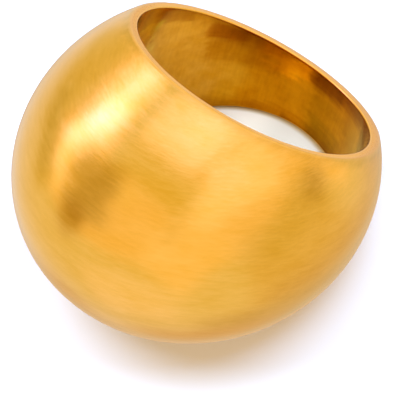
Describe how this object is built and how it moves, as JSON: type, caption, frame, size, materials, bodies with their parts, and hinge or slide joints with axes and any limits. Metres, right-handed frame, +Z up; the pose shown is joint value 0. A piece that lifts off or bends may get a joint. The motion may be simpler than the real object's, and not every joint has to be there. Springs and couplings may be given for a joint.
{
  "type": "chunky domed ring",
  "caption": "Chunky solid domed finger ring in satin gold metal, wide and thick in front and narrow behind, lying on its side rim.",
  "frame": {"origin": "middle of the finger hole's lower mouth, on the surface that the ring lies on", "axes": "+Z up from the surface, -Y towards the dome, +X to the right seen from the dome; the finger hole leans 23 degrees from +Z towards +Y, because the ring lies on a leaning side rim"},
  "size_m": [0.024, 0.0263, 0.0191],
  "materials": {
    "gold": "satin, finely brushed round the band, with polished rim edges"
  },
  "bodies": {
    "root": {"ring": "gold"}
  },
  "joints": []
}
